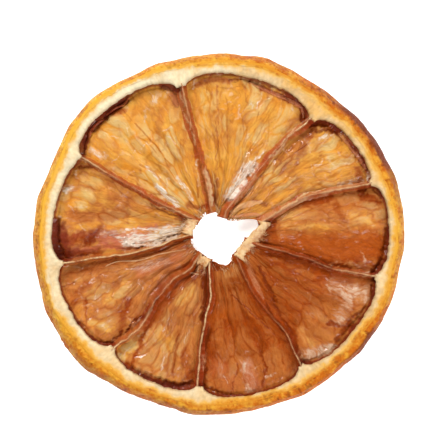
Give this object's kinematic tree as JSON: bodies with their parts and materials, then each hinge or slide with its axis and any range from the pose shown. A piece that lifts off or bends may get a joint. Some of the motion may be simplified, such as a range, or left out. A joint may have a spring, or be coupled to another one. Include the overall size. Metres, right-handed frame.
{
  "type": "dried lemon slice",
  "caption": "Round dried citrus slice: a ring of rind round wedges of dried pulp, with a torn hole in the middle, lying flat.",
  "frame": {"origin": "centre of the slice's outline on the flat face that it rests on", "axes": "+Z up, from the resting face to the face shown; +X across the slice's wider way, to the right when it is seen from above with +Y up"},
  "size_m": [0.054, 0.0526, 0.0043],
  "materials": {
    "pulp": "dried citrus flesh, amber to red-brown, satin with wet-looking glints",
    "peel": "dried citrus peel, orange-yellow, pored, satin",
    "pith": "dried citrus pith, cream, matt and fibrous",
    "membrane": "dried wedge wall, red-brown with cream edges, satin"
  },
  "bodies": {
    "root": {"dried_lemon_slice": "pulp"}
  },
  "joints": []
}
